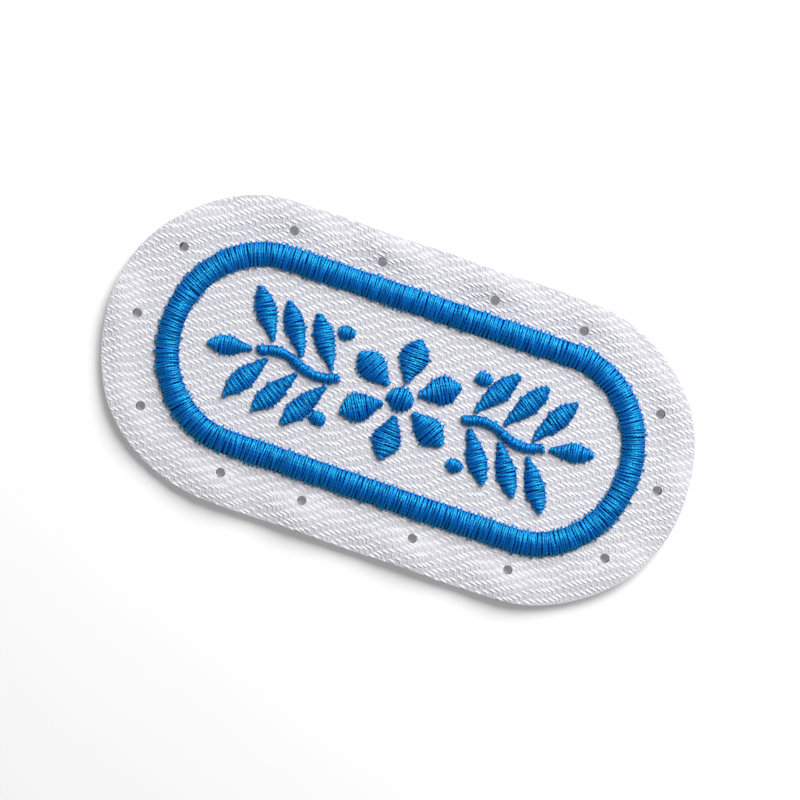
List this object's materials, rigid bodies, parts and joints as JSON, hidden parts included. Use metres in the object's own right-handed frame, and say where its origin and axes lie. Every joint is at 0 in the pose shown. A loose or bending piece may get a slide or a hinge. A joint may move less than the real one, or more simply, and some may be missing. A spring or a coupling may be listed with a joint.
{
  "type": "embroidered patch",
  "caption": "Flat sew-on cloth patch with long round-ended outline, raised satin-stitch border and flower spray, small sewing holes round the margin.",
  "frame": {"origin": "under the middle of the patch, on the flat back of the cloth", "axes": "+X along the patch's length, +Y up the patch as it is worn, +Z out of the embroidered face"},
  "size_m": [0.059, 0.0304, 0.0018],
  "materials": {
    "twill": "white cotton-polyester twill",
    "satin_thread": "glossy blue polyester embroidery thread"
  },
  "bodies": {
    "root": {"twill_ground": "twill", "satin_border": "satin_thread", "flower_centre": "satin_thread", "petal_1": "satin_thread", "petal_2": "satin_thread", "petal_3": "satin_thread", "petal_4": "satin_thread", "petal_5": "satin_thread", "petal_6": "satin_thread", "left_stem": "satin_thread", "left_leaf_1": "satin_thread", "left_leaf_2": "satin_thread", "left_leaf_3": "satin_thread", "left_leaf_4": "satin_thread", "left_leaf_5": "satin_thread", "left_leaf_6": "satin_thread", "left_leaf_7": "satin_thread", "right_stem": "satin_thread", "right_leaf_1": "satin_thread", "right_leaf_2": "satin_thread", "right_leaf_3": "satin_thread", "right_leaf_4": "satin_thread", "right_leaf_5": "satin_thread", "right_leaf_6": "satin_thread", "right_leaf_7": "satin_thread", "bud_1": "satin_thread", "bud_2": "satin_thread", "bud_3": "satin_thread", "bud_4": "satin_thread"}
  },
  "joints": []
}
